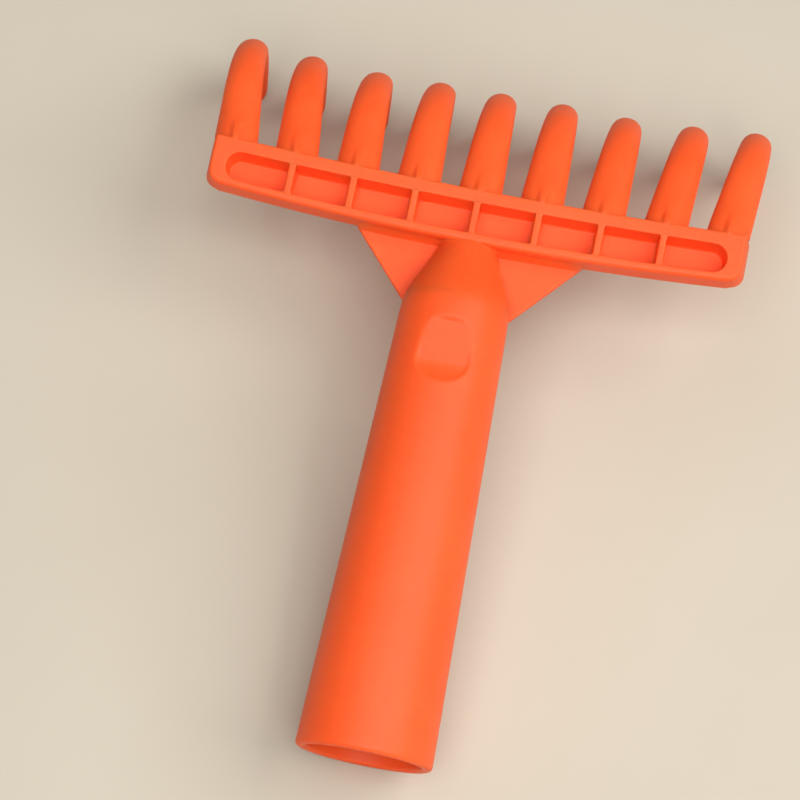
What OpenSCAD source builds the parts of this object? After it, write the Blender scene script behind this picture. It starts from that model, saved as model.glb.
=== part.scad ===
// Head of a sand rake: a crossbar with nine hooked tines on one side and a tapered
// socket for a stick on the other. It lies as it is put down, on the mouth of the
// socket and the tips of the two outer tines.

/* [Crossbar] */
// Distance from one tine to the next
tine_pitch = 16.5; // [15:0.5:20]
// Bar beyond the centre line of the outer tines
bar_end = 6.3; // [6.1:0.1:12]
// Centre of the slot to the handle side of the top face
bar_back = 5.8; // [5.6:0.1:9]
// Centre of the slot to the face that the tines stand on
bar_front = 7.75; // [6.5:0.25:12]
// Height of the bar
bar_h = 9; // [9:0.5:14]
// How far the handle side leans out at the bottom
bar_lean = 1; // [0.4:0.1:3]
// How far the end faces lean out at the bottom
end_lean = 1.4; // [0.4:0.1:3]
// How far the outer tines stand forward of the middle one
bar_bow = 1.4; // [0.4:0.1:4]
// How much narrower the bar is at the outer tines than at its middle
bar_taper = 1.3; // [0:0.1:2]
// Rounding of the corners on the handle side
bar_corner_r = 3; // [1:0.5:5]
// Rounding of the long upper edge on the handle side
bar_edge_r = 0.8; // [0.3:0.1:1.2]

/* [Slot] */
// Width of the slot at the middle of the bar
slot_w = 8.5; // [6:0.5:9]
// How much narrower the slot is at the outer tines
slot_taper = 0.8; // [0:0.1:2]
// Wall between the end of the slot and the end of the bar
slot_end_wall = 5.5; // [4:0.1:8]
// Depth of the slot
slot_depth = 6.5; // [4:0.5:7.5]
// Thickness of the ribs across the slot
rib_t = 1.75; // [1:0.25:3]

/* [Tines] */
// Angle that each tine turns away from the one beside it, in degrees
tine_fan = 1.8; // [0:0.1:3]
// Width of a tine where it leaves the bar
tine_root_w = 11.8; // [8:0.1:12.2]
// Width of a tine at its tip
tine_tip_w = 5.7; // [5:0.1:8]
// Thickness of a tine where it leaves the bar
tine_root_t = 7.2; // [5:0.1:7.4]
// Thickness of a tine at its tip
tine_tip_t = 6.2; // [4:0.1:7]
// Top of the bar to the middle of a tine's root
tine_drop = 5.2; // [4.6:0.1:5.3]
// Downward slope of a tine where it leaves the bar, in degrees
tine_dive = 18.5; // [8:0.5:30]
// Straight length of a tine before its bend
tine_straight = 14.1; // [8:0.1:30]
// Radius of the bend
tine_bend_r = 31; // [22:0.5:45]
// Angle that the bend turns through, in degrees
tine_turn = 103.5; // [70:0.5:120]
// Straight length from the bend to the end of the tip
tine_end = 3.4; // [3.2:0.2:12]
// Extra straight length of the two outer tines before their bend
outer_tine_extra = 1.8; // [0.4:0.1:4]
// Thickness of the ridge on a tine's root
ridge_t = 1.75; // [1:0.25:3]
// Length of the ridge
ridge_len = 7; // [5:0.5:12]

/* [Socket] */
// Outer diameter at the mouth
mouth_d = 35.5; // [33:0.5:40]
// Outer diameter at the nose
tube_d = 28.2; // [27.5:0.1:32]
// Length from the mouth to the nose
tube_len = 121; // [118:1:160]
// Length of the nose from the tube to the bar
nose_len = 17.5; // [15:0.5:24]
// Width of the nose where it meets the bar
nose_end_w = 13.8; // [10:0.2:18]
// Top of the bar to the widest level of the nose where it meets the bar
nose_end_drop = 8.5; // [6:0.1:8.6]
// Top of the bar to the top of the nose where it meets the bar
nose_top_drop = 0.3; // [0.2:0.1:2]
// Top of the bar to the axis of the socket
socket_drop = 1.5; // [0:0.1:3]
// Diameter of the stick that the socket holds
stick_d = 24; // [20:0.5:24]
// Clearance round the stick
stick_clearance = 0.2; // [0.1:0.05:0.5]
// Length of the straight seat
seat_len = 34; // [20:1:40]
// Depth of the straight seat's far end
seat_depth = 93; // [80:1:95]
// Inner diameter at the mouth
mouth_bore_d = 29.6; // [27:0.1:30.5]
// Rounding of the lip at the mouth
lip_r = 1.2; // [0.6:0.1:1.4]
// Diameter of the core beyond the seat
core_d = 16; // [8:0.5:17]
// Length of the core beyond the seat
core_len = 22; // [14:1:24]

/* [Thumb hollow] */
// Length of the hollow on top of the socket
hollow_len = 17; // [14:0.5:18]
// Width of the hollow
hollow_w = 13.8; // [10:0.1:14]
// Nose to the upper end of the hollow
hollow_gap = 7.6; // [6:0.1:9]
// Depth of the hollow at its upper end
hollow_step = 0.4; // [0.3:0.1:1]
// Depth of the hollow where its floor meets the ramp
hollow_depth = 2.3; // [1.5:0.1:3]
// Length of the ramp at its lower end
hollow_ramp = 4.5; // [2:0.5:6]

/* [Webs] */
// Thickness of the webs beside the nose
web_t = 2; // [1.5:0.1:3]
// Half width of the webs at the bar
web_reach = 30.5; // [24:0.5:40]
// Half width of the webs at the end of the tube
web_narrow = 14.7; // [14.5:0.1:17]

/* [Hidden] */

tine_count = 9;
rib_count = tine_count - 2;
middle_tine = (tine_count + 1) / 2;
plastic = "orangered";

// Every cut runs past the face that it opens by this much
overrun = 1;

// The bar is bowed along a circle whose centre lies on the tine side. The wall on its
// handle side follows a smaller circle, which narrows the bar towards its ends.
half_span = (tine_count - 1) / 2 * tine_pitch;
function arc_r(rise) = (half_span * half_span + rise * rise) / 2 / rise;
bow_r = arc_r(bar_bow);
back_r = arc_r(bar_bow + bar_taper);
bar_half = half_span + bar_end;
bow_fn = 1440;

// The slot's outline has this many points along each side and round each end
slot_half = bar_half - slot_end_wall;
slot_side_points = 25;
slot_end_points = 13;

// A tine is a row of rings of this many points, with a rounded end
ring_points = 16;
straight_rings = 3;
bend_rings = 10;
cap_rings = 4;
cap_r = tine_tip_t / 2;

// Sizes along the socket, from the wall of the bar to the mouth
socket_z = -socket_drop;
wall_y = -bar_back;
nose_y = wall_y - nose_len;
mouth_y = nose_y - tube_len;
seat_r = stick_d / 2 + stick_clearance;
seat_start = seat_depth - seat_len;
tube_fn = 96;
lip_points = 7;
// Share of the hollow's depth that the ramp drops in its first half
ramp_share = 0.66;

// The nose is a row of rings, whose last one lies a little inside the bar
nose_ring_points = 48;
nose_rings = 8;
nose_sink = 0.5;
nose_reach_share = 1 + nose_sink / nose_len;

function tine_x(i) = (i - middle_tine) * tine_pitch;
function tine_fan_angle(i) = (i - middle_tine) * tine_fan;
function is_outer(i) = i == 1 || i == tine_count;

// Place along Y of a line that is `ahead` of the slot's centre, at x along the bar
function bowed(x, ahead) = bow_r - sqrt(pow(bow_r - ahead, 2) - x * x);

// Heading of a tine below the bar's plane, s along its centre line
bend_len = tine_bend_r * tine_turn * PI / 180;
function straight_len(i) = tine_straight + (is_outer(i) ? outer_tine_extra : 0);
function heading(i, s) =
    tine_dive + tine_turn * min(max((s - straight_len(i)) / bend_len, 0), 1);

// Forward and downward place of the centre line: a straight, an arc and a straight
function centre_line(i, s) =
    let (
        first = min(s, straight_len(i)),
        a = heading(i, s),
        last = max(s - straight_len(i) - bend_len, 0)
    )
    [
        first * cos(tine_dive) + tine_bend_r * (sin(a) - sin(tine_dive)) + last * cos(a),
        first * sin(tine_dive) + tine_bend_r * (cos(tine_dive) - cos(a)) + last * sin(a)
    ];

// Length of a tine up to the middle of its round end
function tine_len(i) = straight_len(i) + bend_len + tine_end - cap_r;

// Rings as [place along the centre line, half width, half thickness]
function ring_list(i) =
    let (
        whole = tine_len(i),
        stops = concat(
            [for (k = [0 : straight_rings - 1]) straight_len(i) * k / straight_rings],
            [for (k = [0 : bend_rings]) straight_len(i) + bend_len * k / bend_rings],
            [whole]
        )
    )
    concat(
        [for (s = stops) [
            s,
            (tine_root_w + (tine_tip_w - tine_root_w) * s / whole) / 2,
            (tine_root_t + (tine_tip_t - tine_root_t) * s / whole) / 2
        ]],
        [for (k = [1 : cap_rings]) let (a = 90 * k / (cap_rings + 1)) [
            whole + cap_r * sin(a), tine_tip_w / 2 * cos(a), cap_r * cos(a)
        ]]
    );

// One point of an elliptical ring in the tine's own axes: across, forward and up
function ring_point(i, ring, k) =
    let (
        turn = 360 * k / ring_points,
        rise = ring[2] * sin(turn),
        c = centre_line(i, ring[0]),
        a = heading(i, ring[0])
    )
    [ring[1] * cos(turn), c[0] + rise * sin(a), rise * cos(a) - c[1]];

// The root ring is laid flat on the bar's face, and the others turn with the fan
function tine_point(i, ring, k) =
    let (
        p = ring_point(i, ring, k),
        fan = ring[0] > 0 ? tine_fan_angle(i) : -asin(tine_x(i) / (bow_r - bar_front)),
        ahead = ring[0] > 0 ? p[1] : 0
    )
    [
        tine_x(i) + p[0] * cos(fan) + ahead * sin(fan),
        bowed(tine_x(i), bar_front) - p[0] * sin(fan) + ahead * cos(fan),
        p[2] - tine_drop
    ];

function tine_tip_point(i) =
    let (
        c = centre_line(i, tine_len(i) + cap_r),
        fan = tine_fan_angle(i)
    )
    [
        tine_x(i) + c[0] * sin(fan),
        bowed(tine_x(i), bar_front) + c[0] * cos(fan),
        -c[1] - tine_drop
    ];

function tine_points(i) = concat(
    [for (ring = ring_list(i)) for (k = [0 : ring_points - 1]) tine_point(i, ring, k)],
    [tine_tip_point(i)]
);

// The rake lies on two circles seen from the side: the lip and the round tip of an
// outer tine. The tilt makes their lower edges level.
tip_line = centre_line(1, tine_len(1));
tip_y = bowed(tine_x(1), bar_front) + tip_line[0] * cos(tine_fan_angle(1));
tip_z = -tip_line[1] - tine_drop;
lip_y = mouth_y + lip_r;
lip_z = socket_z - mouth_d / 2 + lip_r;
rest_span = norm([tip_y - lip_y, tip_z - lip_z]);
rest_tilt = asin((cap_r - lip_r) / rest_span) - atan2(tip_z - lip_z, tip_y - lip_y);
floor_z = lip_y * sin(rest_tilt) + lip_z * cos(rest_tilt) - lip_r;

// Ends of the tilted rake along Y, for the middle of its box
upper_lip_z = socket_z + mouth_d / 2 - lip_r;
rear_y = lip_y * cos(rest_tilt) - upper_lip_z * sin(rest_tilt) - lip_r;
front_y = max([for (p = tine_points(1)) p[1] * cos(rest_tilt) - p[2] * sin(rest_tilt)]);

// From the bar's own axes, with its top face at zero height, to the rake as it lies
module laid_down() {
    translate([0, -(rear_y + front_y) / 2, -floor_z])
        rotate([rest_tilt, 0, 0])
        children();
}

// From the socket's own axis, which runs up from the mouth, to the bar's axes
module along_socket() {
    translate([0, mouth_y, socket_z])
        rotate([-90, 0, 0])
        children();
}

// Distance from the bow's centre and height: the upright front and the flat underside
// of the bar, with enough behind and above them for the other section
module front_section() {
    translate([bow_r - bar_front, -bar_h])
        square([bar_front + bar_back + bar_lean + overrun, bar_h + overrun]);
}

// Distance from the smaller circle's centre and height: the top face and the leaning
// handle side, with a soft edge between them
module back_section() {
    inner = back_r - bar_back - bar_front - overrun;
    polygon([
        [inner, -bar_h - overrun],
        [inner, 0],
        [back_r - bar_edge_r, 0],
        [back_r - bar_edge_r / 3, -bar_edge_r / 4],
        [back_r, -bar_edge_r],
        [back_r + bar_lean, -bar_h],
        [back_r + bar_lean, -bar_h - overrun]
    ]);
}

// A section carried round a circle of radius r as far as the bar reaches
module carried_round(r) {
    angle = 2 * asin((bar_half + bar_end) / r);
    rotate([0, 0, -90 - angle / 2])
        rotate_extrude(angle = angle, $fn = bow_fn)
        children();
}

// The bar with no slot: both sections carried round their circles, with leaning ends
// and rounded corners
module bar_solid() {
    wide = bar_half - bar_corner_r;
    back = back_r - bar_back - sqrt(pow(back_r + bar_lean, 2) - bar_half * bar_half);
    end_angle = atan(end_lean / bar_h);
    reach = bar_front + bar_bow + overrun;
    difference() {
        intersection() {
            translate([0, bow_r, 0])
                carried_round(bow_r)
                front_section();
            translate([0, back_r - bar_back, 0])
                carried_round(back_r)
                back_section();
            translate([0, 0, -bar_h - overrun])
                linear_extrude(bar_h + 2 * overrun)
                union() {
                    translate([-bar_half, back + bar_corner_r])
                        square([2 * bar_half, reach + bar_front - back]);
                    translate([-wide, -bar_back - bar_lean - overrun])
                        square([2 * wide, reach + bar_front - back]);
                    for (side = [-1, 1])
                        translate([side * wide, back + bar_corner_r])
                            circle(r = bar_corner_r, $fn = tube_fn);
                }
        }
        for (side = [-1, 1])
            translate([side * bar_half, 0, -bar_h])
                rotate([0, -side * end_angle, 0])
                translate([side > 0 ? 0 : -bar_end, -reach - bar_back - bar_lean, -bar_h])
                cube([bar_end, 2 * reach + bar_back + bar_lean + bar_front, 3 * bar_h]);
    }
}

// Edges of the slot along Y
function slot_front(x) = slot_w / 2 + bar_bow * pow(x / half_span, 2);
function slot_back(x) = -slot_w / 2 + (bar_bow + slot_taper) * pow(x / half_span, 2);
slot_end_r = (slot_front(slot_half) - slot_back(slot_half)) / 2;
slot_straight = slot_half - slot_end_r;
slot_share = [for (k = [0 : slot_side_points - 1]) 1 - 2 * k / (slot_side_points - 1)];

module slot_outline() {
    end_y = (slot_front(slot_straight) + slot_back(slot_straight)) / 2;
    end_half = (slot_front(slot_straight) - slot_back(slot_straight)) / 2;
    arc = [for (k = [1 : slot_end_points - 2]) 180 * k / (slot_end_points - 1)];
    polygon(concat(
        [for (t = slot_share) [slot_straight * t, slot_front(slot_straight * t)]],
        [for (a = arc) [-slot_straight - slot_end_r * sin(a), end_y + end_half * cos(a)]],
        [for (t = slot_share) [-slot_straight * t, slot_back(slot_straight * t)]],
        [for (a = arc) [slot_straight + slot_end_r * sin(a), end_y - end_half * cos(a)]]
    ));
}

module slot_space(over) {
    translate([0, 0, -slot_depth])
        linear_extrude(slot_depth + over)
        slot_outline();
}

module crossbar() {
    color(plastic)
        laid_down()
        difference() {
            bar_solid();
            slot_space(overrun);
        }
}

// A rib fills the slot from wall to wall, on the centre line of a tine
module slot_rib(i) {
    color(plastic)
        laid_down()
        intersection() {
            slot_space(0);
            translate([tine_x(i + 1) - rib_t / 2, -slot_w, -slot_depth])
                cube([rib_t, 2 * slot_w + bar_bow, slot_depth]);
        }
}

module tine_loft(i) {
    rings = len(ring_list(i));
    tip = rings * ring_points;
    polyhedron(
        points = tine_points(i),
        faces = concat(
            [[for (k = [ring_points - 1 : -1 : 0]) k]],
            [for (r = [0 : rings - 2]) for (k = [0 : ring_points - 1])
                let (a = r * ring_points + k, b = r * ring_points + (k + 1) % ring_points)
                [a, b, a + ring_points]],
            [for (r = [0 : rings - 2]) for (k = [0 : ring_points - 1])
                let (a = r * ring_points + k, b = r * ring_points + (k + 1) % ring_points)
                [b, b + ring_points, a + ring_points]],
            [for (k = [0 : ring_points - 1])
                [tip - ring_points + k, tip - ring_points + (k + 1) % ring_points, tip]]
        )
    );
}

// The ridge carries the line of the ribs on from the bar's top edge into the back of
// the tine. It is cut level with the bar's face.
module tine_ridge(i) {
    foot = centre_line(i, ridge_len);
    foot_z = tine_root_t / 2 - foot[1] - tine_drop;
    translate([tine_x(i), bowed(tine_x(i), bar_front), 0])
        rotate([90, 0, 90 - tine_fan_angle(i)])
        translate([0, 0, -ridge_t / 2])
        linear_extrude(ridge_t)
        polygon([
            [0, 0],
            [foot[0], foot_z],
            [foot[0], foot_z - tine_tip_t / 2],
            [0, -tine_drop]
        ]);
}

// The tines right of the middle one are mirror images of those on the left
module tine(i) {
    on_right = i > middle_tine;
    twin = on_right ? tine_count + 1 - i : i;
    color(plastic)
        laid_down()
        mirror([on_right ? 1 : 0, 0, 0])
        union() {
            tine_loft(twin);
            tine_ridge(twin);
        }
}

// Outline of the tube from its axis outwards, with the lip rounded outside
module tube_outline() {
    polygon(concat(
        [[0, 0]],
        [for (k = [0 : lip_points - 1]) let (a = 90 * k / (lip_points - 1))
            [mouth_d / 2 - lip_r + lip_r * sin(a), lip_r - lip_r * cos(a)]],
        [[tube_d / 2, tube_len], [0, tube_len]]
    ));
}

module tube_solid() {
    rotate_extrude($fn = tube_fn)
        tube_outline();
}

// The way in narrows down to the seat, which is straight. The core beyond it is
// smaller, so that the stick stops at the step.
module socket_bore() {
    lip_inner = mouth_bore_d / 2 + lip_r;
    rotate_extrude($fn = tube_fn)
        polygon(concat(
            [[0, -overrun], [lip_inner, -overrun]],
            [for (k = [0 : lip_points - 1]) let (a = 90 * k / (lip_points - 1))
                [lip_inner - lip_r * sin(a), lip_r - lip_r * cos(a)]],
            [[seat_r, seat_start], [0, seat_start]]
        ));
    translate([0, 0, seat_start - overrun])
        cylinder(r = seat_r, h = seat_len + overrun, $fn = tube_fn);
    translate([0, 0, seat_depth - overrun])
        rotate_extrude($fn = tube_fn)
        polygon(concat(
            [[0, 0], [core_d / 2, 0]],
            [for (k = [0 : lip_points - 1]) let (a = 90 * k / (lip_points - 1))
                [core_d / 2 * cos(a), core_len + overrun - core_d / 2 * (1 - sin(a))]]
        ));
}

// The thumb hollow: a slot with round ends, whose floor slants down towards the mouth
// and then climbs a ramp to the surface
module thumb_hollow() {
    upper = nose_y - hollow_gap;
    lower = upper - hollow_len;
    surface = socket_z + tube_d / 2;
    lean = (mouth_d - tube_d) / 2 / tube_len;
    upper_z = surface + hollow_gap * lean;
    lower_z = surface + (hollow_gap + hollow_len) * lean;
    intersection() {
        linear_extrude(mouth_d)
            union() {
                for (y = [upper - hollow_w / 2, lower + hollow_w / 2])
                    translate([0, y])
                        circle(d = hollow_w, $fn = tube_fn);
                translate([-hollow_w / 2, lower + hollow_w / 2])
                    square([hollow_w, hollow_len - hollow_w]);
            }
        translate([-hollow_w, 0, 0])
            rotate([90, 0, 90])
            linear_extrude(2 * hollow_w)
            polygon([
                [upper, upper_z - hollow_step],
                [upper, mouth_d],
                [lower, mouth_d],
                [lower, lower_z],
                [lower + hollow_ramp / 2, lower_z - hollow_depth * ramp_share],
                [lower + hollow_ramp, lower_z - hollow_depth]
            ]);
    }
}

module socket_tube() {
    color(plastic)
        laid_down()
        difference() {
            along_socket()
                difference() {
                    tube_solid();
                    socket_bore();
                }
            thumb_hollow();
        }
}

// One point of the nose, t from 0 at the tube to 1 at the bar. Each ring is two half
// ellipses that share their widest line, which sinks from the socket's axis towards
// the bar's underside, while the top slopes down to the bar's top edge.
function mix(a, b, t) = a + (b - a) * t;
function nose_point(t, turn) =
    let (
        middle = mix(socket_z, -nose_end_drop, t),
        above = mix(tube_d / 2, nose_end_drop - nose_top_drop, t),
        below = mix(tube_d / 2, bar_h - nose_end_drop, t),
        side = mix(tube_d / 2, nose_end_w / 2, t)
    )
    [
        side * cos(turn),
        nose_y + nose_len * t,
        middle + (sin(turn) > 0 ? above : below) * sin(turn)
    ];

module nose_solid() {
    polyhedron(
        points = [
            for (r = [0 : nose_rings]) for (k = [0 : nose_ring_points - 1])
                nose_point(nose_reach_share * r / nose_rings, 360 * k / nose_ring_points)
        ],
        faces = concat(
            [[for (k = [nose_ring_points - 1 : -1 : 0]) k]],
            [for (r = [0 : nose_rings - 1]) for (k = [0 : nose_ring_points - 1])
                let (a = r * nose_ring_points + k, b = r * nose_ring_points + (k + 1) % nose_ring_points)
                [a, b, a + nose_ring_points]],
            [for (r = [0 : nose_rings - 1]) for (k = [0 : nose_ring_points - 1])
                let (a = r * nose_ring_points + k, b = r * nose_ring_points + (k + 1) % nose_ring_points)
                [b, b + nose_ring_points, a + nose_ring_points]],
            [[for (k = [0 : nose_ring_points - 1]) nose_rings * nose_ring_points + k]]
        )
    );
}

module socket_nose() {
    color(plastic)
        laid_down()
        difference() {
            nose_solid();
            bar_solid();
        }
}

// A web fills the corner between the nose and the bar, level with the bar's underside
module web(side) {
    color(plastic)
        laid_down()
        difference() {
            translate([0, 0, -bar_h])
                linear_extrude(web_t)
                polygon([
                    [0, 0],
                    [side * web_reach, 0],
                    [side * web_reach, wall_y],
                    [side * web_narrow, nose_y],
                    [0, nose_y]
                ]);
            nose_solid();
            along_socket()
                tube_solid();
            bar_solid();
        }
}

socket_tube();
socket_nose();
web(-1);  // web_left
web(1);  // web_right
crossbar();
for (i = [1 : rib_count])
    slot_rib(i);
for (i = [1 : tine_count])
    tine(i);
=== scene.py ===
"""Looks of a sand rake head: one satin orange moulding with a slotted bar, nine hooked
tines and a tapered socket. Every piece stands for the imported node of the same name."""
import math

import bpy
import numpy as np
from mathutils import Matrix, Vector


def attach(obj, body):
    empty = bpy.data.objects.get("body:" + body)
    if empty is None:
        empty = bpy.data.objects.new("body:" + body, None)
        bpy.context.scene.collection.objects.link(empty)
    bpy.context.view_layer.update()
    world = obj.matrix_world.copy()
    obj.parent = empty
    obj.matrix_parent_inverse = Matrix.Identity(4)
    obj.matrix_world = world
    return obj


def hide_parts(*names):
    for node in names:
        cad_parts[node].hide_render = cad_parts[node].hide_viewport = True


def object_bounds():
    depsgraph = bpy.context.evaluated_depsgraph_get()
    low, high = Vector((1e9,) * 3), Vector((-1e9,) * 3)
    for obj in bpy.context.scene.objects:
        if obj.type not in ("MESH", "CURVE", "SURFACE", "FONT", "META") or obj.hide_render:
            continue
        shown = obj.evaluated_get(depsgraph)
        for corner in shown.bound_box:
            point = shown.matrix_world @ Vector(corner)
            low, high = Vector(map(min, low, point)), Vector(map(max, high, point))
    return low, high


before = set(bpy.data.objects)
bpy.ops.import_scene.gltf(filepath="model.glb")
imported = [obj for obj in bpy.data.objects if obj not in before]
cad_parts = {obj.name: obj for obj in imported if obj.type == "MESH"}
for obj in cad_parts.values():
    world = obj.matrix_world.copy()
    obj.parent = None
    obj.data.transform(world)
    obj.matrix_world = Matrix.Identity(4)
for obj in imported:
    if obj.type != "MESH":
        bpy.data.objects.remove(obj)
cad_low, cad_high = [np.array(corner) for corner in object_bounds()]

MM = 0.001

# Crossbar
tine_count = 9
tine_pitch = 16.5 * MM
bar_end = 6.3 * MM
bar_back = 5.8 * MM
bar_front = 7.75 * MM
bar_h = 9 * MM
bar_lean = 1 * MM
end_lean = 1.4 * MM
bar_bow = 1.4 * MM
bar_taper = 1.3 * MM
back_corner_r = 3 * MM
front_corner_r = 0.7 * MM
back_edge_in = 0.3 * MM
back_edge_out = 0.85 * MM
back_edge_fall = 1.4 * MM
back_foot_r = 2 * MM
front_edge_r = 0.5 * MM
end_edge_r = 0.7 * MM
foot_edge_r = 0.5 * MM

# Slot and its ribs
slot_w = 8.5 * MM
slot_taper = 0.8 * MM
slot_end_wall = 5.5 * MM
slot_depth = 6.5 * MM
slot_draft = 0.6 * MM
slot_rim_r = 0.3 * MM
slot_foot_r = 0.6 * MM
rib_t = 1.75 * MM
rib_draft = 0.15 * MM
rib_edge_r = 0.3 * MM
rib_fillet_r = 0.55 * MM
rib_rise = 0.05 * MM

# Tines
tine_fan = 1.8
tine_root_w = 11.8 * MM
tine_tip_w = 5.7 * MM
tine_root_t = 7.2 * MM
tine_tip_t = 6.2 * MM
tine_drop = 5.2 * MM
tine_dive = 18.5
tine_straight = 14.1 * MM
outer_tine_extra = 1.8 * MM
tine_bend_r = 31 * MM
tine_turn = 103.5
tine_end = 3.4 * MM
tine_round = 5.2 * MM
root_fillet_r = 0.5 * MM
root_turn_share = 1 / 3
root_lift = 1.1 * MM
ridge_top_w = 0.7 * MM
ridge_flank = 1.5 * MM
ridge_len = 7 * MM
ridge_rise = 0.05 * MM
ridge_fade = 3
outer_ridge_fade = 2.2

# The real tines are slightly uneven: each one's own swing, in degrees, and its longer
# or shorter reach
tine_swing = (0.9, -0.2, 1.3, 1.2, 0, -1, -0.8, 0.5, -0.5)
tine_extra = np.array([-0.5, -0.1, -0.8, -0.1, 0.2, 0.4, -0.25, 0.6, -0.1]) * MM

# Socket and nose
mouth_d = 35.5 * MM
tube_d = 28.2 * MM
tube_len = 121 * MM
nose_len = 17.5 * MM
nose_end_w = 13.8 * MM
nose_end_drop = 8.5 * MM
nose_top_drop = 0.3 * MM
nose_fillet_r = 1.8 * MM
nose_soft_share = 0.09
socket_drop = 1.5 * MM
seat_r = 12.2 * MM
seat_len = 34 * MM
seat_depth = 93 * MM
mouth_bore_d = 29.6 * MM
lip_r = 1.2 * MM
core_d = 16 * MM
core_len = 22 * MM

# Thumb hollow
hollow_len = 17 * MM
hollow_w = 13.8 * MM
hollow_gap = 7.6 * MM
hollow_corner_r = 5 * MM
hollow_step = 0.9 * MM
hollow_depth = 2.3 * MM
hollow_ramp = 5.6 * MM
hollow_soft = 1 * MM
hollow_climb_end = 1.4

# Webs
web_t = 2 * MM
web_reach = 30.5 * MM
web_narrow = 14.7 * MM
web_fillet_r = 0.5 * MM
web_bevel = 1.9 * MM
web_bevel_slope = 3.2
web_bevel_top = 1.4 * MM
web_bevel_soft = 0.2 * MM
web_edge_r = 0.4 * MM

# How far a piece reaches into its neighbour, where the moulding is one, how far its
# hidden end is drawn in there, how near two rings stand at a seam, and how far the
# tines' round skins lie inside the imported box
embed = 1.2 * MM
tuck = 0.15 * MM
seam = 0.02 * MM
skin_in = 0.06 * MM

# Steps along and round each surface
round_steps = 6
lip_steps = 8
core_steps = 8
tine_band_steps = 2
tine_buried_steps = 5
tine_ridge_steps = 23
tine_bend_steps = 67
tine_cap_steps = 14
tine_side_steps = 25
ridge_window = 32
ridge_turns = 64
rib_length_steps = 8
rib_round_steps = 5
rib_side_points = 4
slot_wall_rows = (0.33, 0.66)
top_face_rows = (0.06, 0.5, 0.94)
outside_rows = (0.05, 0.35, 0.65, 0.95)
tube_side_steps = 39
hollow_window = 36
hollow_turns = 78
tube_neck_steps = 19
tube_hollow_steps = 83
tube_points = 50
bore_taper_steps = 15
bore_seat_steps = 6
nose_turns = 144
nose_points = 22
nose_foot_steps = 39
web_points = 34
web_foot_steps = 49
web_root_steps = 19
web_root_share = 0.3
web_span_points = 24
web_edge_steps = 5
web_under_points = 8

middle_tine = (tine_count + 1) / 2
half_span = (tine_count - 1) / 2 * tine_pitch
bow_r = (half_span ** 2 + bar_bow ** 2) / 2 / bar_bow
back_rise = bar_bow + bar_taper
back_r = (half_span ** 2 + back_rise ** 2) / 2 / back_rise
bar_half = half_span + bar_end
slot_half = bar_half - slot_end_wall
bend_len = tine_bend_r * math.radians(tine_turn)
cap_r = tine_tip_t / 2
socket_z = -socket_drop
wall_y = -bar_back
nose_y = wall_y - nose_len
mouth_y = nose_y - tube_len
web_top = -bar_h + web_t


def cosd(angle):
    return np.cos(np.radians(angle))


def sind(angle):
    return np.sin(np.radians(angle))


def mix(a, b, t):
    return a + (b - a) * t


def smooth_step(t):
    """0 below 0, 1 above 1 and the cubic 3t^2 - 2t^3 between."""
    t = np.clip(t, 0, 1)
    return t * t * (3 - 2 * t)


def steps_to(start, end, count):
    """Even steps from start to end, without the start."""
    return np.linspace(start, end, count + 1)[1:]


def steps_from(start, end, count):
    """Even steps from start to end, without the end."""
    return np.linspace(start, end, count + 1)[:-1]


def quarter_turn(steps):
    """Angles from 0 to 90 degrees."""
    return np.linspace(0, 90, steps + 1)


def soft_ramp(value, soft):
    """0 well below 0 and the value itself well above, with a bend about `soft` wide."""
    return soft * np.logaddexp(0, value / soft)


def fillet(distance, radius):
    """Height of a hollow quarter circle that leaves a face at `radius` from a wall and
    meets the wall at that height: r - sqrt(r^2 - (r - d)^2)."""
    near = radius - np.clip(distance, 0, radius)
    return radius - np.sqrt(radius ** 2 - near ** 2)


def front_line(x, ahead):
    """Place along Y of a line `ahead` of the slot's centre, on a circle round the bow's
    centre."""
    return bow_r - np.sqrt((bow_r - ahead) ** 2 - x ** 2)


def back_line(x, z):
    """Place along Y of the bar's handle side, on a smaller circle whose radius grows
    with the depth: first round the soft upper edge, a quarter of an ellipse, and then
    evenly, as the side leans."""
    below_edge = 1 - np.clip(-z / back_edge_fall, 0, 1)
    lean = (bar_lean - back_edge_out) * np.clip(-z / bar_h, 0, 1)
    radius = back_r + back_edge_out * np.sqrt(1 - below_edge ** 2) + lean
    return back_r - bar_back - np.sqrt(radius ** 2 - x ** 2)


# Tines

def tine_x(i):
    return (i - middle_tine) * tine_pitch


def is_outer(i):
    return i in (1, tine_count)


def straight_len(i):
    return tine_straight + (outer_tine_extra if is_outer(i) else 0)


def fan_angle(i):
    """Turn of a tine away from straight ahead: an even fan, and its own small swing."""
    return (i - middle_tine) * tine_fan + tine_swing[i - 1]


def tine_len(i):
    """Length up to the middle of the round end."""
    return straight_len(i) + bend_len + tine_end - cap_r


def heading(i, s):
    """Angle below the bar's plane, s along the centre line: steady, then turning evenly
    through the bend, then steady."""
    return tine_dive + tine_turn * np.clip((s - straight_len(i)) / bend_len, 0, 1)


def centre_line(i, s):
    """Forward and downward place: a straight, a circle's arc and a straight."""
    first = np.minimum(s, straight_len(i))
    angle = heading(i, s)
    last = np.maximum(s - straight_len(i) - bend_len, 0)
    arc_forward = tine_bend_r * (sind(angle) - sind(tine_dive))
    arc_down = tine_bend_r * (cosd(tine_dive) - cosd(angle))
    forward = first * cosd(tine_dive) + arc_forward + last * cosd(angle)
    down = first * sind(tine_dive) + arc_down + last * sind(angle)
    return forward, down


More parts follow.
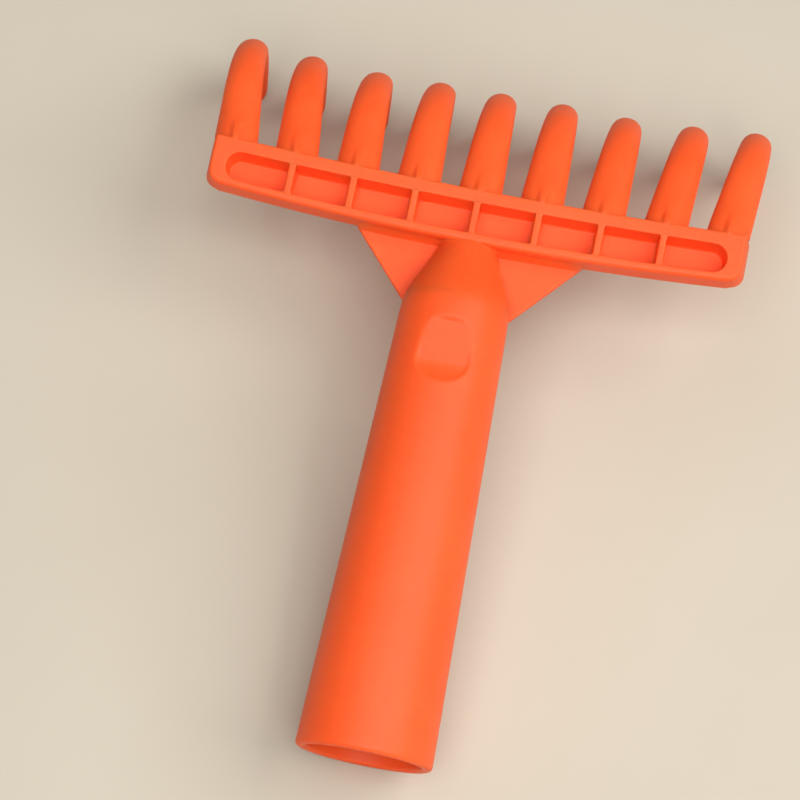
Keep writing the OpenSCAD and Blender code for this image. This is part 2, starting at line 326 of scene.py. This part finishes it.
def resting():
    """Tilt, floor height and rear of the rake as it lies on the lip of the mouth and the
    outer tines' tips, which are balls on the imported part: two circles seen from the
    side, whose lower edges the tilt makes level."""
    tip_forward, tip_down = centre_line(1, tine_len(1))
    outer_fan = (1 - middle_tine) * tine_fan
    tip_y = front_line(tine_x(1), bar_front) + tip_forward * cosd(outer_fan)
    tip_z = -tip_down - tine_drop
    lip_y = mouth_y + lip_r
    lip_z = socket_z - mouth_d / 2 + lip_r
    upper_lip_z = socket_z + mouth_d / 2 - lip_r
    span = math.hypot(tip_y - lip_y, tip_z - lip_z)
    tilt = math.asin((cap_r - lip_r) / span) - math.atan2(tip_z - lip_z, tip_y - lip_y)
    floor = lip_y * math.sin(tilt) + lip_z * math.cos(tilt) - lip_r
    rear = lip_y * math.cos(tilt) - upper_lip_z * math.sin(tilt) - lip_r
    return tilt, floor, rear


rest_tilt, floor_z, rear_y = resting()


def tilted(vectors):
    """A turn about X from the bar's own axes to the rake's as it lies."""
    y = vectors[..., 1] * math.cos(rest_tilt) - vectors[..., 2] * math.sin(rest_tilt)
    z = vectors[..., 1] * math.sin(rest_tilt) + vectors[..., 2] * math.cos(rest_tilt)
    return np.stack([vectors[..., 0], y, z], axis=-1)


def lay_down(points):
    """From the bar's own axes, with its top face at zero height, to the rake as it lies:
    the tilt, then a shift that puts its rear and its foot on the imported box."""
    return tilted(points) + [0, cad_low[1] - rear_y, -floor_z]


# Meshes

def grid_faces(rows, columns):
    """Quads between neighbouring rows of a grid whose last column joins the first."""
    start = np.arange(rows - 1)[:, None] * columns
    here = np.arange(columns)[None, :]
    after = (here + 1) % columns
    quads = [start + here, start + after, start + columns + after, start + columns + here]
    return np.stack(quads, axis=-1).reshape(-1, 4)


def fan_faces(first, columns, pole):
    """Triangles from a ring to one pole."""
    here = first + np.arange(columns)
    after = first + (np.arange(columns) + 1) % columns
    return np.stack([here, after, np.full(columns, pole)], axis=-1)


def turned_over(faces):
    return faces[:, ::-1]


def signed_volume(points, faces):
    """Sum over triangles of a . (b x c) / 6, which is positive where faces point out."""
    total = 0.0
    for block in faces:
        for k in range(1, block.shape[1] - 1):
            a, b, c = points[block[:, 0]], points[block[:, k]], points[block[:, k + 1]]
            total += np.einsum("ij,ij->", a, np.cross(b, c)) / 6
    return total


def make_piece(name, points, faces, material):
    """A closed mesh from an array of points and blocks of quads or triangles, facing
    outwards, which rides on the root body and stands for the node of its name."""
    points = lay_down(points.reshape(-1, 3))
    if signed_volume(points, faces) < 0:
        faces = [turned_over(block) for block in faces]
    corners = np.concatenate([block.ravel() for block in faces]).astype(np.int32)
    sizes = np.concatenate([np.full(len(block), block.shape[1]) for block in faces])
    starts = np.concatenate([[0], np.cumsum(sizes)[:-1]]).astype(np.int32)
    mesh = bpy.data.meshes.new(name)
    mesh.vertices.add(len(points))
    mesh.vertices.foreach_set("co", points.astype(np.float32).ravel())
    mesh.loops.add(len(corners))
    mesh.loops.foreach_set("vertex_index", corners)
    mesh.polygons.add(len(sizes))
    mesh.polygons.foreach_set("loop_start", starts)
    mesh.polygons.foreach_set("use_smooth", np.ones(len(sizes), dtype=bool))
    mesh.update(calc_edges=True)
    mesh.validate()
    mesh.materials.append(material)
    piece = bpy.data.objects.new(name + "_skin", mesh)
    bpy.context.scene.collection.objects.link(piece)
    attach(piece, "root")
    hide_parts(name)


def ring_piece(name, rings, material):
    """Rings of points, one after another, closed by a pole in the middle of each end."""
    rows, columns = rings.shape[:2]
    poles = [rings[0].mean(axis=0), rings[-1].mean(axis=0)]
    faces = [
        grid_faces(rows, columns),
        turned_over(fan_faces(0, columns, rows * columns)),
        fan_faces((rows - 1) * columns, columns, rows * columns + 1),
    ]
    make_piece(name, np.concatenate([rings.reshape(-1, 3), poles]), faces, material)


# Surfaces

def closer_at_top(window, side_steps, top_turns):
    """Angles once round from straight down, closer together within `window` degrees of
    straight up."""
    return np.concatenate([
        steps_from(-90, 90 - window, side_steps),
        np.linspace(90 - window, 90 + window, top_turns),
        steps_to(90 + window, 270, side_steps)[:-1],
    ])


def tine_rings(i):
    """An ellipse carried along the centre line. Its half axes shrink evenly to the long
    round end, where they fall as the cosine. A hollow fillet widens it at the bar, inside the
    bar it narrows to the ridge, and its upper half swells towards the bar as a square.
    The ridge is a bump on its back, which starts at the slot, crosses the bar's face as
    a faint band and falls to nothing as a power of the distance left. The tine's own
    longer or shorter reach is shared out evenly along its straight."""
    whole = tine_len(i)
    round_start = whole + cap_r - tine_round
    cap_turn = np.radians(quarter_turn(tine_cap_steps)[1:-1])
    band_len = 2 * embed if is_outer(i) else bar_front - slot_w / 2 - slot_rim_r
    s = np.concatenate([
        steps_from(-band_len, -embed, tine_band_steps),
        steps_from(-embed, 0, tine_buried_steps),
        root_fillet_r * (1 - cosd(quarter_turn(round_steps))),
        steps_to(root_fillet_r, ridge_len, tine_ridge_steps),
        steps_to(ridge_len, round_start, tine_bend_steps),
    ])
    body = np.concatenate([np.ones(len(s)), np.cos(cap_turn)])[:, None]
    s = np.concatenate([s, round_start + tine_round * np.sin(cap_turn)])[:, None]
    share = np.clip(s / whole, 0, 1)
    turn = closer_at_top(ridge_window, tine_side_steps, ridge_turns)[None, :]
    free_root_r = 0 if is_outer(i) else root_fillet_r
    flare = np.where(s < 0, free_root_r, fillet(s, root_fillet_r) * free_root_r / root_fillet_r)
    half_w = mix(tine_root_w, tine_tip_w, share) / 2 * body - skin_in + flare
    buried_half_w = ridge_top_w / 2 + 2 * ridge_flank
    half_w = mix(half_w, buried_half_w, np.clip(-s / embed, 0, 1))
    half_t = mix(tine_root_t, tine_tip_t, share) / 2 * body - skin_in
    lift = root_lift * np.clip(1 - s / tine_straight, 0, 1) ** 2
    half_t = half_t + np.where(sind(turn) > 0, lift, 0)
    across = half_w * cosd(turn)
    rise = half_t * sind(turn)
    forward, down = centre_line(i, s)
    stretch = tine_extra[i - 1] * np.clip(s / tine_straight, 0, 1)
    forward = forward + stretch
    down = down + stretch * math.tan(rest_tilt)
    angle = heading(i, s)
    turned = np.clip(s / (tine_straight * root_turn_share), 0, 1)
    ahead = forward + rise * sind(angle) * turned
    line_z = -np.maximum(down, 0) - tine_drop
    up = line_z + rise * cosd(angle)
    fade = outer_ridge_fade if is_outer(i) else ridge_fade
    level = ridge_rise * np.clip(1 + 2 * s / band_len, -1, 1)
    remaining = np.clip(1 - s / ridge_len, 0, 1)
    height = (level - line_z - half_t * cosd(angle)) * remaining ** fade
    crest = smooth_step((ridge_top_w / 2 + ridge_flank - np.abs(across)) / ridge_flank)
    up = up + np.where(sind(turn) > 0, np.maximum(height, 0) * crest, 0)
    fan = fan_angle(i)
    wall_turn = -np.degrees(np.arcsin(tine_x(i) / (bow_r - bar_front)))
    yaw = mix(wall_turn, fan, turned)
    x = tine_x(i) + across * cosd(yaw) + ahead * sind(fan)
    y = front_line(tine_x(i), bar_front) - across * sind(yaw) + ahead * cosd(fan)
    return np.stack([x, y, up], axis=-1)


# Crossbar: loops of this many points along a side, round a front corner, down an end
# and round a back corner
side_points = 121
front_corner_points = 9
end_points = 5
back_corner_points = 13
turn_points = front_corner_points + end_points + back_corner_points
loop_points = 2 * (side_points + turn_points)


def slot_front(x):
    """The slot's side by the tines: a parabola that bows with the bar."""
    return slot_w / 2 + bar_bow * (x / half_span) ** 2


def slot_back(x):
    """The slot's side by the handle: a parabola that bows more, so that the slot narrows
    towards its ends."""
    return -slot_w / 2 + (bar_bow + slot_taper) * (x / half_span) ** 2


def slot_loop():
    """Outline of the slot at the top: two bowed sides and two half circles."""
    radius = (slot_front(slot_half) - slot_back(slot_half)) / 2
    straight = slot_half - radius
    middle = (slot_front(straight) + slot_back(straight)) / 2
    half = (slot_front(straight) - slot_back(straight)) / 2
    x = np.linspace(straight, -straight, side_points)
    arc = np.linspace(0, 180, turn_points + 2)[1:-1]
    return np.concatenate([
        np.stack([x, slot_front(x)], axis=-1),
        np.stack([-straight - radius * sind(arc), middle + half * cosd(arc)], axis=-1),
        np.stack([-x, slot_back(x)], axis=-1),
        np.stack([straight + radius * sind(arc), middle - half * cosd(arc)], axis=-1),
    ])


def bar_loop():
    """Outline of the bar's top face with sharp rims: two bowed sides and two straight
    ends, with quarter circles at the corners."""
    half = bar_half - end_lean
    front_x = half - front_corner_r
    back_x = half - back_corner_r
    front_y = front_line(half, bar_front) - front_corner_r
    back_y = back_line(half, 0) + back_corner_r
    front = np.linspace(front_x, -front_x, side_points)
    back = np.linspace(-back_x, back_x, side_points)
    front_arc = quarter_turn(front_corner_points)[1:, None]
    back_arc = quarter_turn(back_corner_points)[:-1, None]
    front_round = np.concatenate([-sind(front_arc), cosd(front_arc)], axis=1)
    back_round = np.concatenate([cosd(back_arc), sind(back_arc)], axis=1)
    down = np.linspace(front_y, back_y, end_points + 2)[1:-1]
    left_end = np.concatenate([
        [-front_x, front_y] + front_corner_r * front_round,
        np.stack([np.full(end_points, -half), down], axis=-1),
        [-back_x, back_y] - back_corner_r * back_round,
    ])
    right_end = left_end[::-1] * [-1, 1]
    return np.concatenate([
        np.stack([front, front_line(front, bar_front)], axis=-1),
        left_end,
        np.stack([back, back_line(back, 0)], axis=-1),
        right_end,
    ])


def outward_normals(loop):
    """Unit normals of a closed loop that runs anticlockwise, from its neighbours."""
    along = np.roll(loop, -1, axis=0) - np.roll(loop, 1, axis=0)
    along /= np.linalg.norm(along, axis=1, keepdims=True)
    return np.stack([along[:, 1], -along[:, 0]], axis=-1)


def ladder_faces(first):
    """Fills a loop of the bar: quads between rungs from its front side to its back side,
    and a triangle at the middle of each end."""
    half_turn = turn_points // 2
    opposite = 2 * side_points + turn_points - 1
    here = np.arange(-half_turn, side_points + half_turn - 1)
    rungs = np.stack([here, here + 1, opposite - here - 1, opposite - here], axis=-1)
    left = side_points + half_turn
    ends = np.array([
        [left - 1, left, left + 1],
        [-half_turn - 1, -half_turn, opposite + half_turn],
    ])
    return [rungs % loop_points + first, ends % loop_points + first]


def bar_rings():
    """Loops from the slot's floor up its leaning wall, over the rim, across the top
    face, round the outer edge, down the leaning outside and round the foot."""
    slot, bar = slot_loop(), bar_loop()
    slot_out, bar_out = outward_normals(slot), outward_normals(bar)
    quarter = quarter_turn(round_steps)
    rows = []

    def add_row(plan, z):
        height = np.broadcast_to(z, loop_points)[:, None]
        rows.append(np.concatenate([plan, height], axis=1))

    def slot_row(offset, z):
        add_row(slot + slot_out * offset, z)

    def bar_row(offset, z):
        add_row(bar + bar_out * np.broadcast_to(offset, loop_points)[:, None], z)

    foot_z = -slot_depth + slot_foot_r
    for a in quarter:
        slot_row(-slot_draft - slot_foot_r * (1 - sind(a)), foot_z - slot_foot_r * cosd(a))
    for t in slot_wall_rows:
        slot_row(-slot_draft * (1 - t), mix(foot_z, -slot_rim_r, t))
    for a in quarter:
        slot_row(slot_rim_r * (1 - cosd(a)), -slot_rim_r * (1 - sind(a)))

    back = np.clip(-bar_out[:, 1], 0, 1) ** 2
    end = bar_out[:, 0] ** 2
    front = np.clip(bar_out[:, 1], 0, 1) ** 2
    edge_r = end_edge_r * end + front_edge_r * front
    edge_in = edge_r + back_edge_in * back
    edge_out = back_edge_out * back
    edge_fall = edge_r + back_edge_fall * back
    foot_r = back_foot_r * back + foot_edge_r * (1 - back)
    lean = (bar_lean - back_edge_out) * back + end_lean * end
    top_in, top_out = rows[-1][:, :2], bar - bar_out * edge_in[:, None]
    for t in top_face_rows:
        add_row(mix(top_in, top_out, t), 0.0)
    for a in quarter:
        z = -edge_fall * (1 - cosd(a))
        bar_row(mix(-edge_in, edge_out, sind(a)) + lean * -z / bar_h, z)
    for t in outside_rows:
        z = mix(-edge_fall, -bar_h + foot_r, t)
        bar_row(edge_out + lean * -z / bar_h, z)
    for a in quarter:
        z = -bar_h + foot_r * (1 - sind(a))
        bar_row(edge_out + lean * -z / bar_h - foot_r * (1 - cosd(a)), z)
    return np.array(rows)


def crossbar(material):
    """The bar's loops, closed by the slot's floor and the underside."""
    rings = bar_rings()
    last = (len(rings) - 1) * loop_points
    floor = [turned_over(block) for block in ladder_faces(0)]
    faces = [grid_faces(len(rings), loop_points)] + floor + ladder_faces(last)
    make_piece("crossbar", rings, faces, material)


def rib_rings(i):
    """An upright section with round upper edges, carried across the slot. It grows
    thicker by a fillet towards the slot's walls and its floor, and its crest sinks a
    hair below the bar's face towards the handle."""
    x_mid = tine_x(i + 1)
    back = slot_back(x_mid)
    front = slot_front(x_mid)
    near = rib_fillet_r * (1 - cosd(quarter_turn(round_steps)))
    y = np.concatenate([
        [back - slot_rim_r],
        back + near,
        steps_to(back + rib_fillet_r, front - rib_fillet_r, rib_length_steps)[:-1],
        front - near[::-1],
        [front + slot_rim_r],
    ])[:, None]
    turn = quarter_turn(rib_round_steps)
    rim_z = -rib_edge_r * (1 - cosd(turn))
    rim_in = rib_edge_r * (1 - sind(turn))
    side_z = np.linspace(-2 * rib_edge_r, -slot_depth + rib_fillet_r, rib_side_points)
    foot_z = -slot_depth + rib_fillet_r * (1 - sind(turn))[1:]
    foot_out = fillet(foot_z + slot_depth, rib_fillet_r)
    z = np.concatenate([rim_z, side_z, foot_z, [-slot_depth - rib_fillet_r]])
    out = np.concatenate([-rim_in, np.zeros(len(side_z)), foot_out, [rib_fillet_r]])
    half = rib_t / 2 + rib_draft * -z / slot_depth + out
    right = half[None, :] + fillet(np.minimum(y - back, front - y), rib_fillet_r)
    x = np.concatenate([right, -right[:, ::-1]], axis=1)
    risen = -rib_rise * (1 - smooth_step((y - back) / slot_w))
    height = np.concatenate([z, z[::-1]])[None, :] + risen
    return np.stack([x_mid + x, np.broadcast_to(y, x.shape), height], axis=-1)


# Socket

def nose_section(y):
    """Half axes of the skin of socket and nose, as side, height of the widest line, and
    the half axes above and below it. Beside the tube it is a circle that tapers evenly.
    Along the nose it is two half ellipses on a shared widest line, which sinks from the
    socket's axis while the top slopes down to the bar's edge. A soft bend joins them."""
    t = soft_ramp((y - nose_y) / nose_len, nose_soft_share)
    growth = np.clip((nose_y - y) / tube_len, 0, 1)
    tube_r = mix(tube_d, mouth_d, growth) / 2
    middle = mix(socket_z, -nose_end_drop, t)
    above = mix(tube_r, nose_end_drop - nose_top_drop, t)
    below = mix(tube_r, bar_h - nose_end_drop, t)
    side = mix(tube_r, nose_end_w / 2, t)
    return side, middle, above, below


def hollow_floor(y):
    """Height of the thumb hollow's floor: a slant down from a small step, then a ramp
    up that ends as a quarter wave."""
    upper = nose_y - hollow_gap
    foot = upper - hollow_len + hollow_ramp
    surface = socket_z + mix(tube_d, mouth_d, (nose_y - y) / tube_len) / 2
    slant = surface - mix(hollow_step, hollow_depth, (upper - y) / (hollow_len - hollow_ramp))
    climb = np.clip((foot - y) / hollow_ramp, 0, hollow_climb_end)
    ramp = surface - hollow_depth * np.cos(climb * math.pi / 2)
    return np.where(y < foot, ramp, slant)


def hollow_cut(x, y, z):
    """How far the hollow lowers the skin: softly down to its floor inside a rectangle
    with round corners, which are full half circles at its lower end, and fading over a
    soft rim at the outline."""
    upper = nose_y - hollow_gap
    lower = upper - hollow_len
    middle = (upper + lower) / 2
    corner = np.where(y > middle, hollow_corner_r, hollow_w / 2)
    past_side = np.abs(x) - hollow_w / 2 + corner
    past_end = np.abs(y - middle) - hollow_len / 2 + corner
    outside = np.hypot(np.maximum(past_side, 0), np.maximum(past_end, 0))
    inside = corner - outside - np.minimum(np.maximum(past_side, past_end), 0)
    depth = soft_ramp(z - hollow_floor(y), hollow_soft / 4)
    return depth * smooth_step(inside / (2 * hollow_soft) + 0.5)


def tube_rings():
    """The skin from the nose to the mouth with the thumb hollow cut into it, then the
    lip's half rounds and the bore: a taper, the straight seat, a step and a core with a
    round end."""
    upper = nose_y - hollow_gap + hollow_soft * 2
    lower = upper - hollow_len - hollow_soft * 4
    y = np.concatenate([
        [nose_y + seam],
        steps_from(nose_y, upper, tube_neck_steps),
        steps_from(upper, lower, tube_hollow_steps),
        np.linspace(lower, mouth_y + lip_r, tube_points),
    ])[:, None]
    turn = closer_at_top(hollow_window, tube_side_steps, hollow_turns)[None, :]
    side, middle, above, _ = nose_section(y)
    x = side * cosd(turn)
    z = middle + above * sind(turn)
    z = z - hollow_cut(x, y, z) * (sind(turn) > 0)
    skin = np.stack([x, np.broadcast_to(y, x.shape), z], axis=-1)

    outer = mix(mouth_d, tube_d, lip_r / tube_len) / 2
    inner = mouth_bore_d / 2
    seat_start = seat_depth - seat_len
    core_r = core_d / 2
    lip_turn = quarter_turn(lip_steps)
    core_turn = quarter_turn(core_steps)[:-1]
    radius = np.concatenate([
        outer - lip_r * (1 - cosd(lip_turn[1:])),
        inner + lip_r * (1 - sind(lip_turn)),
        steps_to(inner, seat_r, bore_taper_steps),
        np.full(bore_seat_steps, seat_r),
        [core_r + lip_r / 2, core_r],
        core_r * cosd(core_turn),
    ])[:, None]
    depth = np.concatenate([
        lip_r * (1 - sind(lip_turn[1:])),
        lip_r * (1 - cosd(lip_turn)),
        steps_to(lip_r, seat_start, bore_taper_steps),
        steps_to(seat_start, seat_depth, bore_seat_steps),
        [seat_depth, seat_depth + lip_r / 2],
        seat_depth + core_len - core_r * (1 - sind(core_turn)),
    ])[:, None]
    bore_x = radius * cosd(turn)
    bore_y = np.broadcast_to(mouth_y + depth, bore_x.shape)
    bore = np.stack([bore_x, bore_y, socket_z + radius * sind(turn)], axis=-1)
    return np.concatenate([skin, bore])


def nose_rings():
    """The same skin from inside the tube to inside the bar, with a fillet at the bar's
    leaning wall on both flanks."""
    turn = steps_from(-90, 270, nose_turns)[None, :]
    foot = wall_y - 3 * nose_fillet_r
    y = np.concatenate([
        [nose_y - embed, nose_y - 2 * seam, nose_y - seam],
        np.linspace(nose_y, foot, nose_points),
        steps_to(foot, wall_y + embed / 2, nose_foot_steps),
    ])[:, None]
    side, middle, above, below = nose_section(y)
    height = np.where(sind(turn) > 0, above, below)
    drawn_in = np.where(y < nose_y - embed / 2, tuck, 0)
    side, height = side - drawn_in, height - drawn_in
    z = middle + height * sind(turn)
    gap = back_line(side * cosd(turn), z) - y
    flare = fillet(gap, nose_fillet_r) * np.abs(cosd(turn))
    return np.stack([(side + flare) * cosd(turn), np.broadcast_to(y, z.shape), z], axis=-1)


def web_rings(side_sign):
    """A flat section from inside the nose to a round free edge, carried from inside the
    tube to inside the bar. Its top face rises in a fillet to the nose and in a steep
    bevel to the bar."""
    foot = wall_y - 2 * web_bevel
    y = np.concatenate([
        np.linspace(nose_y - 2.5 * embed, foot, web_points),
        steps_to(foot, wall_y + embed / 2, web_foot_steps),
    ])[:, None]
    free = mix(web_narrow, web_reach, (y - nose_y) / nose_len)
    side, middle, above, below = nose_section(y)
    level = (web_top - middle) / np.where(web_top > middle, above, below)
    root = side * np.sqrt(1 - np.clip(level, -1, 1) ** 2)
    inner = root - embed
    edge = np.maximum(free - web_edge_r, inner + embed / 2)
    spread = np.concatenate([
        steps_from(0, web_root_share, web_root_steps),
        np.linspace(web_root_share, 1, web_span_points),
    ])[None, :]
    x_top = mix(inner, edge, spread)
    gap = back_line(x_top, 0) - y
    bevel = soft_ramp((web_bevel - gap) * web_bevel_slope, web_bevel_soft)
    bevel = np.minimum(bevel, -web_top - web_bevel_top)
    rise = np.maximum(bevel, fillet(x_top - root, web_fillet_r))
    quarter = quarter_turn(web_edge_steps)[None, 1:]
    x_round = edge + web_edge_r * sind(quarter)
    z_round = web_top + rise[:, -1:] - web_edge_r * (1 - cosd(quarter))
    z_foot = -bar_h + web_edge_r * (1 - cosd(quarter[:, ::-1]))
    x_under = mix(edge, inner, np.linspace(0, 1, web_under_points)[None, :])
    x = np.concatenate([x_top, x_round, x_round[:, ::-1], x_under], axis=1)
    z = np.concatenate([
        web_top + rise,
        z_round,
        np.broadcast_to(z_foot, x_round.shape),
        np.full(x_under.shape, -bar_h),
    ], axis=1)
    return np.stack([side_sign * x, np.broadcast_to(y, x.shape), z], axis=-1)


# Materials. Scales of patterns are in features to the metre.

cloud_scale = 28.0
cloud_detail = 3.0
cloud_span = (0.35, 0.65)
grain_scale = 2600.0
grain_detail = 2.0
wave_scale = 70.0
wave_detail = 1.0
rub_scale = 140.0
rub_detail = 4.0
rub_contrast = 0.62
satin = 0.44
rub_roughness = 0.12
grain_roughness = 0.04
wave_height = 0.6
grain_height = 0.02
bump_strength = 0.25
bump_reach = 0.4 * MM
plastic_ior = 1.45
plastic_gloss = 0.37
glow_share = 0.6
glow_reach = 4 * MM
glow_colours = (1.0, 0.12, 0.04)
orange_dark = (0.92, 0.102, 0.017, 1)
orange_light = (0.96, 0.114, 0.021, 1)

mottle_scale = 9.0
mottle_detail = 3.0
floor_span = (0.3, 0.7)
floor_roughness = 0.8
floor_dark = (0.52, 0.465, 0.385, 1)
floor_light = (0.55, 0.495, 0.415, 1)


class Wire:
    """A node's output, with the shader's maths as Python operators."""

    def __init__(self, shader, socket):
        self.shader = shader
        self.socket = socket

    def _math(self, operation, *values):
        settings = {"operation": operation}
        return self.shader.node("ShaderNodeMath", settings, dict(enumerate(values)))

    def __add__(self, other):
        return self._math("ADD", self, other)

    def __radd__(self, other):
        return self._math("ADD", other, self)

    def __mul__(self, other):
        return self._math("MULTIPLY", self, other)

    def __rmul__(self, other):
        return self._math("MULTIPLY", other, self)


class Shader:
    """A new material, whose nodes are all made by one method."""

    def __init__(self, name):
        self.material = bpy.data.materials.new(name)
        self.material.use_nodes = True
        self.nodes = self.material.node_tree.nodes
        self.links = self.material.node_tree.links
        self.surface = self.nodes["Principled BSDF"]

    def feed(self, socket, value):
        if isinstance(value, Wire):
            self.links.new(value.socket, socket)
        else:
            socket.default_value = value

    def node(self, kind, settings=None, inputs=None, output=0):
        made = self.nodes.new(kind)
        for name, value in (settings or {}).items():
            if name == "stops":
                for element, (place, colour) in zip(made.color_ramp.elements, value):
                    element.position = place
                    element.color = colour
            else:
                setattr(made, name, value)
        for name, value in (inputs or {}).items():
            self.feed(made.inputs[name], value)
        return Wire(self, made.outputs[output])

    def set(self, name, value):
        """Gives a socket of the surface a link or a constant."""
        self.feed(self.surface.inputs[name], value)

    def noise(self, place, scale, detail, roughness=0.5):
        return self.node(
            "ShaderNodeTexNoise", {},
            {"Vector": place, "Scale": scale, "Detail": detail, "Roughness": roughness})

    def two_tones(self, pattern, span, first, second):
        """Runs from one colour to another while the pattern crosses its span."""
        stops = list(zip(span, (first, second)))
        return self.node("ShaderNodeValToRGB", {"stops": stops}, {"Fac": pattern})


def orange_plastic():
    """Satin moulded plastic: one pigment with faint flow clouds, a fine spark-eroded
    grain, slow waves from cooling and a few rubbed patches that shine more."""
    shader = Shader("orange_plastic")
    place = shader.node("ShaderNodeTexCoord", output="Object")
    clouds = shader.noise(place, cloud_scale, cloud_detail)
    grain = shader.noise(place, grain_scale, grain_detail)
    waves = shader.noise(place, wave_scale, wave_detail)
    rubbed = shader.noise(place, rub_scale, rub_detail, rub_contrast)
    shader.set("Base Color", shader.two_tones(clouds, cloud_span, orange_dark, orange_light))
    shader.set("Roughness", satin + rubbed * rub_roughness + grain * grain_roughness)
    height = waves * wave_height + grain * grain_height
    shader.set("Normal", shader.node(
        "ShaderNodeBump", {},
        {"Strength": bump_strength, "Distance": bump_reach, "Height": height}))
    shader.set("IOR", plastic_ior)
    shader.set("Specular IOR Level", plastic_gloss)
    shader.set("Subsurface Weight", glow_share)
    shader.set("Subsurface Radius", glow_colours)
    shader.set("Subsurface Scale", glow_reach)
    return shader.material


def floor_paint():
    """A pale matt ground with the faintest mottling."""
    shader = Shader("floor_paint")
    place = shader.node("ShaderNodeTexCoord", output="Object")
    mottle = shader.noise(place, mottle_scale, mottle_detail)
    shader.set("Base Color", shader.two_tones(mottle, floor_span, floor_dark, floor_light))
    shader.set("Roughness", floor_roughness)
    return shader.material


# Pieces

plastic = orange_plastic()
crossbar(plastic)
for i in range(1, tine_count - 1):
    ring_piece(f"slot_rib_{i}", rib_rings(i), plastic)
for i in range(1, tine_count + 1):
    ring_piece(f"tine_{i}", tine_rings(i), plastic)
ring_piece("socket_tube", tube_rings(), plastic)
ring_piece("socket_nose", nose_rings(), plastic)
ring_piece("web_left", web_rings(-1), plastic)
ring_piece("web_right", web_rings(1), plastic)


# Studio. The camera stands where the photograph's did, well above the handle's side, in
# the bar's own axes, and picture_right is the picture's level there. The lens and its
# sensor are in millimetres.

floor_half = 2.5
sensor_w = 36
lens_len = 150
nearest_seen = 10 * MM
camera_place = np.array([36.24, -238.01, 839.03]) * MM
camera_aim = np.array([-9.28, -51.78, 0]) * MM
picture_right = np.array([0.97992, 0.19920, -0.00894])


def add_floor():
    mesh = bpy.data.meshes.new("floor")
    corners = [(x * floor_half, y * floor_half, 0) for x, y in ((-1, -1), (1, -1), (1, 1), (-1, 1))]
    mesh.from_pydata(corners, [], [(0, 1, 2, 3)])
    mesh.materials.append(floor_paint())
    floor = bpy.data.objects.new("floor", mesh)
    bpy.context.scene.collection.objects.link(floor)


def add_softbox(name, place, size, power, colour):
    """A square lamp that faces the rake."""
    lamp = bpy.data.lights.new(name, "AREA")
    lamp.shape = "SQUARE"
    lamp.size = size
    lamp.energy = power
    lamp.color = colour
    softbox = bpy.data.objects.new(name, lamp)
    softbox.location = place
    softbox.rotation_euler = Vector(place).to_track_quat("Z", "Y").to_euler()
    bpy.context.scene.collection.objects.link(softbox)


def add_sky(strength, colour):
    world = bpy.data.worlds.new("sky")
    world.use_nodes = True
    background = world.node_tree.nodes["Background"]
    background.inputs["Color"].default_value = (*colour, 1)
    background.inputs["Strength"].default_value = strength
    bpy.context.scene.world = world


def add_camera():
    """A camera at its place, turned to its aim and levelled by the picture's right."""
    place = lay_down(camera_place)
    aim = lay_down(camera_aim)
    right = Vector(tilted(picture_right))
    forward = Vector(aim - place).normalized()
    up = right.cross(forward).normalized()
    right = forward.cross(up)
    lens = bpy.data.cameras.new("camera")
    lens.sensor_width = sensor_w
    lens.lens = lens_len
    lens.clip_start = nearest_seen
    camera = bpy.data.objects.new("camera", lens)
    camera.location = place
    camera.rotation_euler = Matrix((right, up, -forward)).transposed().to_euler()
    bpy.context.scene.collection.objects.link(camera)
    bpy.context.scene.camera = camera


add_floor()
add_softbox("key_softbox", place=(1.0, 0.1, 1.2), size=1.1, power=17, colour=(1, 1, 0.97))
add_softbox("top_softbox", place=(0.1, -0.75, 1.45), size=1.3, power=27, colour=(1, 1, 0.95))
add_softbox("fill_softbox", place=(-0.5, 0.6, 1.4), size=1.2, power=2.5, colour=(1, 1, 0.95))
add_sky(strength=0.05, colour=(1, 1, 1))
add_camera()

view = bpy.context.scene.view_settings
view.view_transform = "Standard"
